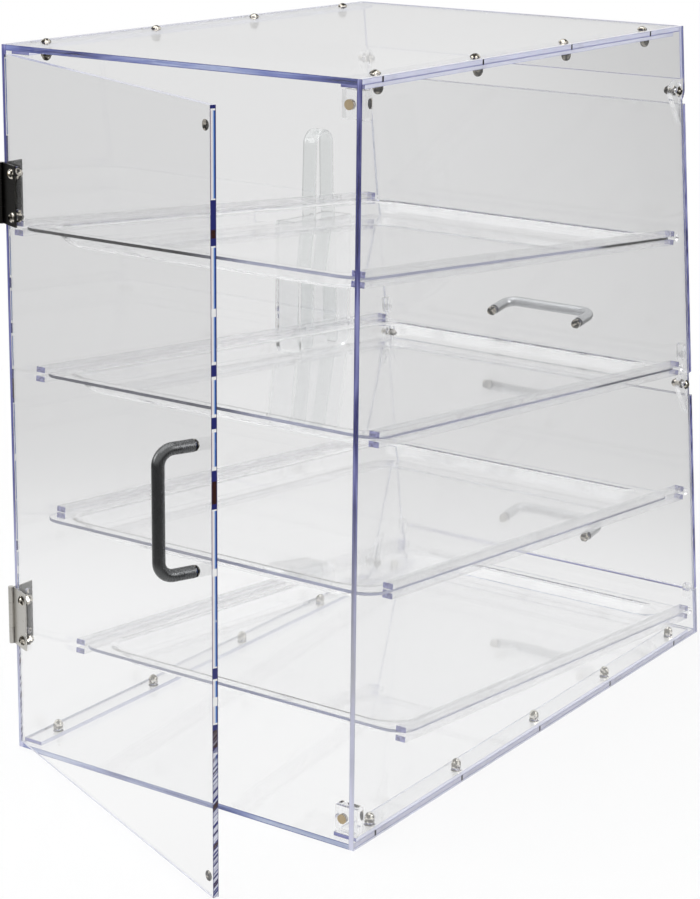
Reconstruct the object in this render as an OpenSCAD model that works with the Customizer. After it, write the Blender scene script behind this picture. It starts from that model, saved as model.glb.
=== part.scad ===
// Countertop bread display bin: a clear sheet case with a leaning front, four sloping
// trays on rail strips, a hinged rear door, two flip-up front doors and a tong pocket.
// Millimetres. Origin: middle of the base on the counter, +Z up, -Y the customer side.
// The rear door stands open at rest, and tray 3 is pulled back a little from its pegs.

/* [Case] */
// outside width of the case
case_w = 354; // [300:0.5:420]
// outside depth of the case at the base
case_d = 603.5; // [540:0.5:700]
// outside height of the case
case_h = 609.6; // [560:0.1:700]
// depth of the top, from the rear edge to the front edge
top_d = 513; // [470:0.5:600]
// thickness of the clear sheet
sheet_t = 4.76; // [3:0.01:8]
// height of the fixed strip across the top of the front
header_h = 48; // [30:0.5:70]
// height of the fixed strip across the foot of the front
kick_h = 47; // [42:0.5:70]

/* [Flanges and bolts] */
// width of the strips that carry the top and bottom panels
flange_w = 19; // [14:0.5:28]
// thickness of these strips
flange_t = 3.2; // [2.4:0.1:6]
// how far the strips stop short of the rear edge
flange_rear = 6.5; // [5.5:0.1:20]
// how far the strips stop short of the front strips
flange_front = 12; // [4:0.5:40]
// bolts along each side of the top
top_bolts = 4; // [2:1:6]
// first top bolt, from the rear edge
top_bolt_first = 37.5; // [25:0.5:60]
// spacing of the top bolts
top_bolt_pitch = 141; // [60:0.5:144]
// bolts along each side of the base
base_bolts = 5; // [2:1:7]
// first base bolt, from the rear edge
base_bolt_first = 39; // [25:0.5:60]
// spacing of the base bolts
base_bolt_pitch = 130.5; // [60:0.5:134]

/* [Fasteners] */
// shank diameter of the screws
screw_d = 4.8; // [3:0.1:6]
// diameter of the low domed heads
head_d = 9.2; // [7:0.1:12]
// height of the low domed heads
head_h = 2.8; // [1.5:0.1:4]
// width across the flats of the cap nuts
nut_af = 8; // [6.5:0.1:10]
// height of the hexagon of a cap nut
nut_hex_h = 3.9; // [2.5:0.1:5]
// radial clearance of a screw in a drilled hole
hole_clear = 0.1; // [0.05:0.05:0.5]

/* [Trays and rails] */
// slope of the trays, down to the customer side
tray_slope = 5.1; // [0:0.1:8]
// depth of the top tray channel's rear end below the top of the case
level_drop = 151.1; // [150:0.1:210]
// height of the lowest tray channel at its stop pegs
level_low = 25.63; // [24:0.01:60]
// how far the top rails stop short of the rear edge
rail_rear = 9.4; // [8.5:0.1:30]
// forward step of each lower level beyond the lean of the front
rail_step = 2.85; // [0:0.05:6]
// clearance from the lowest stop pegs to the strip across the foot
peg_clear = 1.97; // [1:0.01:8]
// diameter of the stop pegs
peg_d = 7; // [5:0.1:12]
// width of a rail strip
rail_w = 9.5; // [7:0.1:14]
// height of the channel between two strips
channel_h = 3.2; // [2.4:0.1:6]
// clearance of the tray rim over and under
rim_clear = 0.3; // [0.2:0.05:0.6]
// clearance of the tray rim to each wall
rim_side = 2.7; // [1:0.1:4]
// flat width of the tray rim
rim_w = 10.3; // [9:0.1:20]
// corner radius of the tray rim
rim_r = 20; // [14:0.5:40]
// depth of a tray, rim to underside
tray_depth = 17; // [10:0.5:30]
// how far the tray sides slope in
tray_inset = 11; // [2:0.5:18]
// wall thickness of a tray
tray_wall = 2.4; // [1.5:0.1:4]
// how far tray 3 is pulled back from its pegs at rest
tray_3_back = 25; // [0:1:28]

/* [Rear door] */
// angle the rear door stands open at rest
rear_angle = 23; // [0:0.5:90]
// clearance of the rear door to each wall
rear_side = 0.8; // [0.5:0.1:3]
// clearance of the rear door to the top and bottom panels
rear_gap = 2.4; // [1:0.1:6]
// how far the closed door's face stands proud of the rear edges
rear_proud = 0.3; // [0.2:0.1:1.5]
// height of a hinge
hinge_h = 50.8; // [38:0.1:76]
// width of a hinge leaf from the pin to its free edge
hinge_leaf = 25.4; // [19:0.1:32]
// hinge leaf thickness
leaf_t = 1.2; // [0.8:0.1:2]
// outside diameter of the hinge knuckles
knuckle_d = 5; // [4:0.1:7]
// diameter of a hinge pin
pin_d = 2.6; // [1.6:0.1:3.4]
// height of the middle of a hinge from the nearest end of the case
hinge_end = 121.5; // [80:0.5:160]
// spacing of the two screws in a hinge leaf
leaf_pitch = 36; // [24:0.5:40]
// distance of the leaf screws from the hinge pin
leaf_hole = 18.5; // [15:0.1:20]

/* [Handles] */
// spacing of the two feet of a handle
handle_cc = 96; // [64:1:128]
// diameter of the handle bar
handle_d = 9.8; // [7:0.1:14]
// distance from the door face to the middle of the bar
handle_out = 28.7; // [22:0.1:45]
// bend radius of the bar's middle line
handle_bend = 12; // [8:0.5:20]
// distance of the rear handle from the door's free edge
rear_handle_in = 27; // [18:0.5:60]
// how far the front handles sit off the middle
front_handle_off = 5; // [0:0.5:20]
// height of a front handle above its door's lower edge
front_handle_up = 33; // [20:0.5:60]

/* [Front doors] */
// share of the front's door height that the upper door takes
upper_share = 0.561; // [0.4:0.001:0.7]
// gap between a door pivot and the edge above it
pivot_gap = 9.5; // [9:0.1:20]
// drop from a door pivot to the door's top edge
pivot_drop = 14.5; // [12:0.1:25]
// depth of the pivots behind the front face
pivot_in = 11; // [10:0.1:16]
// radius of the rounded ears at the pivots
ear_r = 9.5; // [8:0.1:11]
// length of an ear below the door's top edge
ear_foot = 18; // [10:0.5:40]
// gap between an ear and the wall
ear_gap = 0.8; // [0.4:0.1:3]
// gap between a closed front door and the wall edges
front_gap = 0.3; // [0.2:0.05:1]
// gap from the second level's stop pegs to the upper rest tabs
tab_gap = 2.86; // [1:0.01:20]
// length of a rest tab along the front
tab_len = 15; // [8:0.5:30]
// depth of a rest tab behind its bumper
tab_deep = 5.5; // [3:0.5:12]
// thickness of a bumper
bumper_t = 1.8; // [1:0.1:3]

/* [Magnet catches] */
// width of a catch block out from the wall
catch_w = 18; // [14:0.5:30]
// height of a catch block
catch_h = 22; // [16:0.5:30]
// thickness of a catch block
catch_t = 9.5; // [6:0.1:14]
// diameter of a magnet
magnet_d = 8; // [5:0.1:10]
// distance of the magnets from the inner face of the wall
magnet_in = 11.5; // [8:0.1:20]
// height of a magnet from the nearest end of the case
magnet_end = 20.5; // [19.5:0.1:40]
// diameter of the steel disc on the door
striker_d = 12; // [8:0.5:16]

/* [Tongs and pocket] */
// width of the tong pocket, front to back
pocket_w = 86; // [70:1:120]
// depth of the tong pocket out from the wall
pocket_d = 30; // [26:0.5:50]
// height of the tong pocket
pocket_h = 134; // [80:1:180]
// height of the pocket's base above the counter
pocket_z = 262; // [150:1:300]
// distance of the pocket's middle forward of the case's middle
pocket_y = 151; // [60:1:180]
// wall thickness of the pocket
pocket_t = 3; // [2:0.1:5]
// height of the tongs, tip to arch
tong_h = 225; // [160:1:300]
// width of one tong arm
tong_arm = 27; // [14:0.5:30]
// gap between the two arms
tong_gap = 5; // [3:0.5:15]
// depth of the channel-shaped arms
tong_deep = 17; // [8:0.5:22]
// thickness of the tong plastic
tong_wall = 2; // [1.2:0.1:4]

/* [Hidden] */
$fn = 64;
eps = 0.01;
half_w = case_w/2;
half_in = half_w - sheet_t;
stack_t = sheet_t + flange_t;
rear_y = case_d/2;
lean = atan((case_d - top_d)/case_h);
top_s = case_h/cos(lean);
header_s = (case_h - header_h)/cos(lean);
kick_s = kick_h/cos(lean);
pivot_1 = header_s - pivot_gap;
upper_top = pivot_1 - pivot_drop;
door_room = upper_top - kick_s - 2 - pivot_gap - pivot_drop;
upper_low = upper_top - upper_share*door_room;
pivot_2 = upper_low - pivot_gap;
lower_top = pivot_2 - pivot_drop;
lower_low = kick_s + 2;
recess_n = sheet_t + front_gap;
bolt_x = half_in - flange_w/2;
rim_t = channel_h - 2*rim_clear;
rim_x = half_in - rim_side;
peg_x = half_in - rail_w;
corner_x = rim_x - rim_r;
corner_back = rim_r - sqrt(rim_r*rim_r - pow(max(0, peg_x - corner_x), 2));
level_top = case_h - level_drop;
peg_n = sheet_t + peg_clear + peg_d/2;
peg_4_y = -case_d/2 + (level_low*sin(lean) + peg_n)/cos(lean);
peg_run = rear_y - rail_rear - peg_4_y - 3*rail_step - (level_top - level_low)*tan(lean);
peg_dist = peg_run*cos(lean)/cos(lean + tray_slope);
level_pitch = (level_top - level_low - peg_dist*sin(tray_slope))/3;
rail_stagger = level_pitch*tan(lean) + rail_step;
peg_2_y = rear_y - rail_rear - rail_stagger - peg_dist*cos(tray_slope);
peg_2_z = level_top - level_pitch - peg_dist*sin(tray_slope);
peg_2_s = (peg_2_y + case_d/2)*sin(lean) + peg_2_z*cos(lean);
tray_len = peg_dist - peg_d/2 + corner_back - 0.3;
rail_len = peg_dist - peg_d/2 - 3;
pin_x = half_w + knuckle_d/2 + 0.1;
pin_y = rear_y + knuckle_d/2 + 0.1;
third_h = hinge_h*0.28;
door_out_y = rear_y + rear_proud;
door_in_y = door_out_y - sheet_t;
rear_half = half_in - rear_side;
rear_low = sheet_t + rear_gap;
rear_top = case_h - sheet_t - rear_gap;
hinge_z = [hinge_end, case_h - hinge_end];
striker_t = 1.5;
magnet_y = door_in_y - striker_t - 0.3;
catch_y = magnet_y - 0.5;
magnet_x = -half_in + magnet_in;
magnet_z = [magnet_end, case_h - magnet_end];
handle_z = case_h/2;
pivot_hole = screw_d + 0.16;
// middle of each rest tab up the front, and its bumper from there
rests = [[peg_2_s + peg_d/2 + tab_gap + tab_len/2, -3.5], [kick_s + 1.5, 3.5]];
dome_r = nut_af*0.47;
nut_h = nut_hex_h + dome_r;

// node to draw

clear = [0.86, 0.88, 0.92, 0.35];
steel = [0.78, 0.78, 0.76];
satin = [0.45, 0.45, 0.44];

// y of a point n behind the leaning front face at height z
function front_y(n, z) = -case_d/2 + z*tan(lean) + n/cos(lean);

// [y, z] of a point n behind the front face and s up along it
function front_pt(n, s) = [-case_d/2 + s*sin(lean) + n*cos(lean), s*cos(lean) - n*sin(lean)];

// a profile in the YZ plane pushed from x0 to x1
module slab_x(x0, x1) {
    translate([x0, 0, 0])
        rotate([90, 0, 90])
            linear_extrude(x1 - x0)
                children();
}

// children drawn with Y behind the front face and Z up along it
module on_front() {
    translate([0, -case_d/2, 0])
        rotate([-lean, 0, 0])
            children();
}

// children turned open about the rear hinge pin
module rear_swing() {
    translate([pin_x, pin_y, 0])
        rotate([0, 0, -rear_angle])
            translate([-pin_x, -pin_y, 0])
                children();
}

// children copied to both sides, mirrored
module both_sides() {
    children();
    mirror([1, 0, 0])
        children();
}

// a shank from z = -len to 0 under a low domed head with a hexagon socket
module dome_screw(len) {
    ball = (head_d*head_d/4 + head_h*head_h)/(2*head_h);
    difference() {
        union() {
            translate([0, 0, -len])
                cylinder(d = screw_d, h = len + eps);
            intersection() {
                translate([0, 0, head_h - ball])
                    sphere(r = ball);
                cylinder(d = head_d, h = head_h + 1);
            }
        }
        translate([0, 0, head_h - 1.6])
            cylinder(d = 3.4, h = 2, $fn = 6);
    }
}

// a flat countersunk screw, face at z = 0, shank up
module flat_screw(len) {
    difference() {
        union() {
            cylinder(d = screw_d, h = len);
            cylinder(d1 = head_d, d2 = screw_d, h = (head_d - screw_d)/2);
        }
        translate([0, 0, -eps])
            cylinder(d = 3.2, h = 1.5, $fn = 6);
    }
}

// a cap nut on z = 0, dome up, bored for the shank
module cap_nut() {
    difference() {
        union() {
            cylinder(d = nut_af/cos(30), h = nut_hex_h, $fn = 6);
            translate([0, 0, nut_hex_h])
                sphere(r = dome_r);
        }
        translate([0, 0, -dome_r])
            cylinder(d = screw_d + 0.04, h = nut_hex_h + dome_r + 0.6);
        translate([0, 0, -20])
            cylinder(d = 30, h = 20);
    }
}

// positions along the top and base bolt rows of the +X side
module top_bolt_spots() {
    for (k = [0:top_bolts - 1])
        translate([bolt_x, rear_y - top_bolt_first - k*top_bolt_pitch, 0])
            children();
}

module base_bolt_spots() {
    for (k = [0:base_bolts - 1])
        translate([bolt_x, rear_y - base_bolt_first - k*base_bolt_pitch, 0])
            children();
}

// outline of a side wall, cut back where the front doors lie
module wall_outline() {
    difference() {
        polygon([
            [rear_y, 0],
            [rear_y, case_h],
            [front_y(0, case_h), case_h],
            front_pt(0, pivot_1),
            front_pt(recess_n, pivot_1),
            front_pt(recess_n, kick_s + 0.7),
            front_pt(0, kick_s + 0.7),
            [-case_d/2, 0]
        ]);
        translate(front_pt(pivot_in, pivot_1))
            circle(d = screw_d + 2*hole_clear);
        translate(front_pt(pivot_in, pivot_2))
            circle(d = screw_d + 2*hole_clear);
    }
    // rounded ear that carries the upper pivot
    difference() {
        translate(front_pt(pivot_in, pivot_1))
            circle(r = pivot_in);
        translate(front_pt(pivot_in, pivot_1))
            circle(d = screw_d + 2*hole_clear);
    }
}

module side_wall_left() {
    color(clear)
        slab_x(-half_w, -half_in)
            wall_outline();
}

module side_wall_right() {
    color(clear)
        difference() {
            slab_x(half_in, half_w)
                wall_outline();
            wall_leaf_spots()
                cylinder(d = screw_d + 2*hole_clear, h = 3*sheet_t, center = true);
        }
}

module top_panel() {
    color(clear)
        difference() {
            slab_x(-half_in, half_in)
                polygon([
                    [rear_y, case_h - sheet_t],
                    [rear_y, case_h],
                    [front_y(sheet_t, case_h), case_h],
                    [front_y(sheet_t, case_h - sheet_t), case_h - sheet_t]
                ]);
            both_sides()
                top_bolt_spots()
                    cylinder(d = screw_d + 2*hole_clear, h = case_h + 1);
        }
}

module bottom_panel() {
    color(clear)
        difference() {
            slab_x(-half_in, half_in)
                polygon([
                    [rear_y, 0],
                    [rear_y, sheet_t],
                    [front_y(sheet_t, sheet_t), sheet_t],
                    [front_y(sheet_t, 0), 0]
                ]);
            both_sides()
                base_bolt_spots() {
                    translate([0, 0, -1])
                        cylinder(d = screw_d + 2*hole_clear, h = sheet_t + 2);
                    translate([0, 0, -eps])
                        cylinder(d1 = head_d + 2*hole_clear, d2 = screw_d + 2*hole_clear,
                            h = (head_d - screw_d)/2);
                }
        }
}

module header_strip() {
    color(clear)
        slab_x(-half_in, half_in)
            polygon([
                front_pt(0, header_s),
                [front_y(0, case_h), case_h],
                [front_y(sheet_t, case_h), case_h],
                front_pt(sheet_t, header_s)
            ]);
}

module kick_strip() {
    color(clear)
        slab_x(-half_in, half_in)
            polygon([
                [front_y(0, 0), 0],
                front_pt(0, kick_s),
                front_pt(sheet_t, kick_s),
                [front_y(sheet_t, 0), 0]
            ]);
}

module top_flange_right() {
    z = case_h - stack_t;
    y0 = front_y(sheet_t, z) + flange_front;
    color(clear)
        difference() {
            translate([half_in - flange_w, y0, z])
                cube([flange_w, rear_y - flange_rear - y0, flange_t]);
            top_bolt_spots()
                cylinder(d = screw_d + 2*hole_clear, h = case_h + 1);
        }
}

module top_flange_left() {
    mirror([1, 0, 0])
        top_flange_right();
}

module bottom_flange_right() {
    y0 = front_y(sheet_t, stack_t) + flange_front;
    color(clear)
        difference() {
            translate([half_in - flange_w, y0, sheet_t])
                cube([flange_w, rear_y - flange_rear - y0, flange_t]);
            base_bolt_spots()
                cylinder(d = screw_d + 2*hole_clear, h = 4*sheet_t);
        }
}

module bottom_flange_left() {
    mirror([1, 0, 0])
        bottom_flange_right();
}

module top_screws() {
    color(steel)
        both_sides()
            top_bolt_spots()
                translate([0, 0, case_h])
                    dome_screw(stack_t + nut_hex_h);
}

module top_cap_nuts() {
    color(steel)
        both_sides()
            top_bolt_spots()
                translate([0, 0, case_h - stack_t])
                    rotate([180, 0, 0])
                        cap_nut();
}

module bottom_screws() {
    color(steel)
        both_sides()
            base_bolt_spots()
                flat_screw(stack_t + nut_hex_h);
}

module bottom_cap_nuts() {
    color(steel)
        both_sides()
            base_bolt_spots()
                translate([0, 0, stack_t])
                    cap_nut();
}

// children at a level's rear rail end, Y running rearward up the slope
module on_level(k) {
    translate([0, rear_y - rail_rear - (k - 1)*rail_stagger, level_top - (k - 1)*level_pitch])
        rotate([tray_slope, 0, 0])
            children();
}

// the two strips of one channel on the +X wall
module rail_pair(k) {
    color(clear)
        on_level(k)
            for (z = [channel_h/2, -channel_h/2 - sheet_t])
                translate([peg_x, -rail_len, z])
                    cube([rail_w, rail_len, sheet_t]);
}

module tray_stop_pegs() {
    color(clear)
        both_sides()
            for (k = [1:4])
                on_level(k)
                    translate([peg_x, -peg_dist, 0])
                        rotate([0, 90, 0])
                            cylinder(d = peg_d, h = rail_w);
}

// a sloping-sided round-cornered block, top face at z = 0
module pan_block(hx, hy, r, deep, inset) {
    for (turn = [0, 1]) {
        a = turn == 0 ? hx : hy;
        b = turn == 0 ? hy - r : hx - r;
        rotate([0, 0, 90*turn])
            rotate([90, 0, 0])
                linear_extrude(2*b, center = true)
                    polygon([[-a, 0], [a, 0], [a - inset, -deep], [inset - a, -deep]]);
    }
    for (x = [-1, 1])
        for (y = [-1, 1])
            translate([x*(hx - r), y*(hy - r), -deep])
                cylinder(r1 = r - inset, r2 = r, h = deep);
}

// a flat round-cornered plate
module round_plate(hx, hy, r, t) {
    translate([-hx + r, -hy, 0])
        cube([2*(hx - r), 2*hy, t]);
    translate([-hx, -hy + r, 0])
        cube([2*hx, 2*(hy - r), t]);
    for (x = [-1, 1])
        for (y = [-1, 1])
            translate([x*(hx - r), y*(hy - r), 0])
                cylinder(r = r, h = t);
}

// one clear tray, rim in the channel, rear edge y0 behind the rail end
module tray(k, y0) {
    hx = rim_x;
    hy = tray_len/2;
    px = rim_x - rim_w;
    py = hy - rim_w;
    pr = tray_inset + 7;
    color(clear)
        on_level(k)
            translate([0, y0 - hy, rim_t/2])
                difference() {
                    union() {
                        translate([0, 0, -rim_t])
                            round_plate(hx, hy, rim_r, rim_t);
                        pan_block(px, py, pr, tray_depth, tray_inset);
                    }
                    translate([0, 0, eps])
                        pan_block(px - tray_wall, py - tray_wall, pr - tray_wall,
                            tray_depth - tray_wall, tray_inset);
                }
}

module catch_blocks() {
    color(clear)
        for (z = magnet_z)
            difference() {
                translate([-half_in, catch_y - catch_t, z - catch_h/2])
                    cube([catch_w, catch_t, catch_h]);
                translate([magnet_x, catch_y + eps, z])
                    rotate([90, 0, 0])
                        cylinder(d = magnet_d, h = 5);
            }
}

module catch_magnets() {
    color(steel)
        for (z = magnet_z)
            translate([magnet_x, magnet_y, z])
                rotate([90, 0, 0])
                    cylinder(d = magnet_d, h = magnet_y - catch_y + 5 - eps);
}

module door_rest_tabs() {
    color(clear)
        both_sides()
            for (rest = rests)
                on_front()
                    translate([half_in - 7, recess_n + bumper_t, rest[0] - tab_len/2])
                        cube([7, tab_deep, tab_len]);
}

module door_bumpers() {
    color(clear)
        both_sides()
            for (rest = rests)
                on_front()
                    translate([half_in - 3.6, recess_n + bumper_t, rest[0] + rest[1]])
                        rotate([90, 0, 0])
                            cylinder(d = 6.4, h = bumper_t);
}

// the barrel of a hinge: the two outer knuckles, or the middle one
module knuckles(middle) {
    low = middle ? third_h + 0.15 : 0;
    high = middle ? hinge_h - third_h - 0.15 : third_h;
    difference() {
        union() {
            translate([0, 0, low - hinge_h/2])
                cylinder(d = knuckle_d, h = high - low);
            if (!middle)
                translate([0, 0, hinge_h/2 - third_h])
                    cylinder(d = knuckle_d, h = third_h);
        }
        translate([0, 0, -hinge_h])
            cylinder(d = pin_d + (middle ? 0.12 : 0), h = 2*hinge_h);
    }
}

// positions of the wall leaf screws, Z pointing out of the wall
module wall_leaf_spots() {
    for (z = hinge_z)
        for (side = [-1, 1])
            translate([half_w, pin_y - leaf_hole, z + side*leaf_pitch/2])
                rotate([0, 90, 0])
                    children();
}

// positions of the door leaf screws, Z pointing out of the closed door
module door_leaf_spots() {
    for (z = hinge_z)
        for (side = [-1, 1])
            translate([pin_x - leaf_hole, door_out_y, z + side*leaf_pitch/2])
                rotate([-90, 0, 0])
                    children();
}

// the leaf on the outside of the side wall
module wall_leaf(z) {
    color(steel)
        difference() {
            union() {
                translate([pin_x, pin_y, z])
                    knuckles(false);
                translate([half_w, pin_y - hinge_leaf, z - hinge_h/2])
                    cube([leaf_t, rear_y - 0.3 - pin_y + hinge_leaf, hinge_h]);
                for (side = [0, 1])
                    translate([half_w, rear_y - 0.4, z - hinge_h/2 + side*(hinge_h - third_h)])
                        difference() {
                            cube([leaf_t, pin_y - rear_y + 0.4, third_h]);
                            translate([pin_x - half_w, pin_y - rear_y + 0.4, -1])
                                cylinder(d = pin_d + 1, h = third_h + 2);
                        }
            }
            wall_leaf_spots()
                cylinder(d = screw_d + 2*hole_clear, h = 8, center = true);
        }
}

module hinge_upper_wall_leaf() {
    wall_leaf(hinge_z[1]);
}

module hinge_lower_wall_leaf() {
    wall_leaf(hinge_z[0]);
}

module hinge_wall_screws() {
    color(steel)
        wall_leaf_spots()
            translate([0, 0, leaf_t])
                dome_screw(leaf_t + sheet_t - 0.2);
}

module hinge_pins() {
    color(steel)
        for (z = hinge_z)
            translate([pin_x, pin_y, z - hinge_h/2])
                cylinder(d = pin_d - 0.02, h = hinge_h);
}

// the leaf on the rear face of the door
module door_leaf(z) {
    reach = hinge_leaf - (pin_x - half_w) - 0.3;
    color(steel)
        rear_swing()
            difference() {
                union() {
                    translate([pin_x, pin_y, z])
                        knuckles(true);
                    translate([pin_x - hinge_leaf, door_out_y, z - hinge_h/2])
                        cube([reach, leaf_t, hinge_h]);
                    translate([half_w - 0.4, door_out_y, z - hinge_h/2 + third_h + 0.15])
                        cube([pin_x - half_w + 0.4, leaf_t, hinge_h - 2*third_h - 0.3]);
                }
                door_leaf_spots()
                    cylinder(d = screw_d + 2*hole_clear, h = 8, center = true);
                translate([pin_x, pin_y, z - hinge_h])
                    cylinder(d = pin_d + 0.12, h = 2*hinge_h);
            }
}

module hinge_upper_door_leaf() {
    door_leaf(hinge_z[1]);
}

module hinge_lower_door_leaf() {
    door_leaf(hinge_z[0]);
}

module hinge_door_screws() {
    color(steel)
        rear_swing()
            door_leaf_spots()
                translate([0, 0, leaf_t])
                    dome_screw(leaf_t + sheet_t + nut_hex_h);
}

module hinge_door_cap_nuts() {
    color(steel)
        rear_swing()
            door_leaf_spots()
                translate([0, 0, -sheet_t])
                    rotate([180, 0, 0])
                        cap_nut();
}

module pivot_screws() {
    color(steel)
        both_sides()
            for (s = [pivot_1, pivot_2])
                on_front()
                    translate([half_w, pivot_in, s])
                        rotate([0, 90, 0])
                            dome_screw(2*sheet_t + ear_gap + 0.3 + nut_hex_h);
}

module pivot_cap_nuts() {
    color(steel)
        both_sides()
            for (s = [pivot_1, pivot_2])
                on_front()
                    translate([half_in - ear_gap - sheet_t - 0.3, pivot_in, s])
                        rotate([0, -90, 0])
                            cap_nut();
}

// a pocket outline in the YZ plane, rounded at its two lower corners
module pocket_outline(w, h, r) {
    translate([-w/2, r])
        square([w, h - r]);
    translate([-w/2 + r, 0])
        square([w - 2*r, h]);
    for (side = [-1, 1])
        translate([side*(w/2 - r), r])
            circle(r = r);
}

module tong_pocket() {
    color(clear)
        translate([half_w, -pocket_y, pocket_z])
            difference() {
                slab_x(0, pocket_d)
                    pocket_outline(pocket_w, pocket_h, 14);
                slab_x(pocket_t, pocket_d - pocket_t)
                    translate([0, pocket_t])
                        pocket_outline(pocket_w - 2*pocket_t, pocket_h, 11);
            }
}

// face outline of the tongs: two arms joined by an arch
module tong_outline(cut) {
    outer = tong_gap/2 + tong_arm - cut;
    inner = tong_gap/2 + cut;
    arch_z = tong_h - tong_gap/2 - tong_arm;
    tip = (outer - inner)/2;
    for (side = [-1, 1]) {
        translate([side*(outer + inner)/2 - tip, tip + cut])
            square([2*tip, arch_z - tip - cut]);
        translate([side*(outer + inner)/2, tip + cut])
            circle(r = tip);
    }
    intersection() {
        translate([0, arch_z])
            difference() {
                circle(r = outer);
                circle(r = inner);
            }
        translate([-2*outer, arch_z - eps])
            square([4*outer, 2*outer]);
    }
}

module tongs() {
    room = pocket_d - 2*pocket_t;
    color(clear)
        translate([half_w + pocket_t + (room - tong_deep)/2, -pocket_y, pocket_z + pocket_t + 0.2])
            difference() {
                slab_x(0, tong_deep)
                    tong_outline(0);
                slab_x(tong_wall, tong_deep + 1)
                    tong_outline(tong_wall);
            }
}

module rear_door_panel() {
    color(clear)
        rear_swing()
            difference() {
                translate([-rear_half, door_in_y, rear_low])
                    cube([2*rear_half, sheet_t, rear_top - rear_low]);
                door_leaf_spots()
                    cylinder(d = screw_d + 2*hole_clear, h = 4*sheet_t, center = true);
                rear_handle_spots()
                    cylinder(d = screw_d + 2*hole_clear, h = 4*sheet_t, center = true);
            }
}

// feet of the rear handle on the closed door's face, Z outward
module rear_handle_spots() {
    for (side = [-1, 1])
        translate([-rear_half + rear_handle_in, door_out_y, handle_z + side*handle_cc/2])
            rotate([-90, 0, 0])
                children();
}

// a round-bar handle standing out along Z, its feet along X
module bar_handle() {
    reach = handle_cc/2 - handle_bend;
    translate([-reach, 0, handle_out])
        rotate([0, 90, 0])
            cylinder(d = handle_d, h = 2*reach);
    for (side = [0, 1])
        mirror([side, 0, 0]) {
            cylinder_post();
            translate([reach, 0, handle_out - handle_bend])
                rotate([90, 0, 0])
                    rotate_extrude(angle = 90)
                        translate([handle_bend, 0])
                            circle(d = handle_d);
        }
}

module cylinder_post() {
    translate([handle_cc/2, 0, 0])
        cylinder(d = handle_d, h = handle_out - handle_bend);
}

module rear_door_handle() {
    color(satin)
        rear_swing()
            difference() {
                translate([-rear_half + rear_handle_in, door_out_y, handle_z])
                    rotate([-90, 0, 0])
                        rotate([0, 0, 90])
                            bar_handle();
                rear_handle_spots()
                    translate([0, 0, -1])
                        cylinder(d = screw_d + 0.04, h = 10);
            }
}

module rear_handle_screws() {
    color(steel)
        rear_swing()
            rear_handle_spots()
                translate([0, 0, -sheet_t])
                    rotate([180, 0, 0])
                        dome_screw(sheet_t + 8);
}

module rear_strikers() {
    color(steel)
        rear_swing()
            for (z = magnet_z)
                translate([magnet_x, door_in_y, z])
                    rotate([90, 0, 0])
                        cylinder(d = striker_d, h = striker_t);
}

// feet of a front handle on the door face, Z outward
module front_handle_spots(low) {
    on_front()
        for (side = [-1, 1])
            translate([side*handle_cc/2 - front_handle_off, 0, low + front_handle_up])
                rotate([90, 0, 0])
                    children();
}

module front_panel(low, high) {
    color(clear)
        difference() {
            on_front()
                translate([-half_w, 0, low])
                    cube([case_w, sheet_t, high - low]);
            front_handle_spots(low)
                cylinder(d = screw_d + 2*hole_clear, h = 4*sheet_t, center = true);
        }
}

// rounded ears behind a door's top corners that turn on the pivot screws
module front_ears(pivot, top) {
    base_n = sheet_t;
    dn = pivot_in - base_n;
    ds = pivot - top + ear_foot;
    turn = atan2(ds, dn) - asin(ear_r/sqrt(dn*dn + ds*ds)) - 90;
    color(clear)
        both_sides()
            on_front()
                slab_x(half_in - ear_gap - sheet_t, half_in - ear_gap)
                    difference() {
                        union() {
                            translate([pivot_in, pivot])
                                circle(r = ear_r);
                            polygon([
                                [base_n, top - ear_foot],
                                [base_n, top],
                                [pivot_in - ear_r*cos(50), pivot - ear_r*sin(50)],
                                [pivot_in, pivot],
                                [pivot_in + ear_r*cos(turn), pivot + ear_r*sin(turn)]
                            ]);
                        }
                        translate([pivot_in, pivot])
                            circle(d = pivot_hole);
                    }
}

module front_handle(low) {
    color(steel)
        on_front()
            translate([-front_handle_off, 0, low + front_handle_up])
                rotate([90, 0, 0]) {
                    bar_handle();
                    for (side = [-1, 1])
                        translate([side*handle_cc/2, 0, -sheet_t - nut_hex_h])
                            cylinder(d = screw_d, h = sheet_t + nut_hex_h + 1);
                }
}

module front_handle_nuts(low) {
    color(steel)
        front_handle_spots(low)
            translate([0, 0, -sheet_t])
                rotate([180, 0, 0])
                    cap_nut();
}

side_wall_left();
side_wall_right();
top_panel();
bottom_panel();
header_strip();
kick_strip();
top_flange_left();
top_flange_right();
bottom_flange_left();
bottom_flange_right();
top_screws();
top_cap_nuts();
bottom_screws();
bottom_cap_nuts();
mirror([1, 0, 0]) rail_pair(1);  // rails_1_left
rail_pair(1);  // rails_1_right
mirror([1, 0, 0]) rail_pair(2);  // rails_2_left
rail_pair(2);  // rails_2_right
mirror([1, 0, 0]) rail_pair(3);  // rails_3_left
rail_pair(3);  // rails_3_right
mirror([1, 0, 0]) rail_pair(4);  // rails_4_left
rail_pair(4);  // rails_4_right
tray_stop_pegs();
catch_blocks();
catch_magnets();
door_rest_tabs();
door_bumpers();
hinge_upper_wall_leaf();
hinge_lower_wall_leaf();
hinge_wall_screws();
hinge_pins();
pivot_screws();
pivot_cap_nuts();
tong_pocket();
rear_door_panel();
rear_door_handle();
rear_handle_screws();
rear_strikers();
hinge_upper_door_leaf();
hinge_lower_door_leaf();
hinge_door_screws();
hinge_door_cap_nuts();
front_panel(upper_low, upper_top);  // upper_door_panel
front_ears(pivot_1, upper_top);  // upper_door_ears
front_handle(upper_low);  // upper_door_handle
front_handle_nuts(upper_low);  // upper_handle_cap_nuts
front_panel(lower_low, lower_top);  // lower_door_panel
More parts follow.
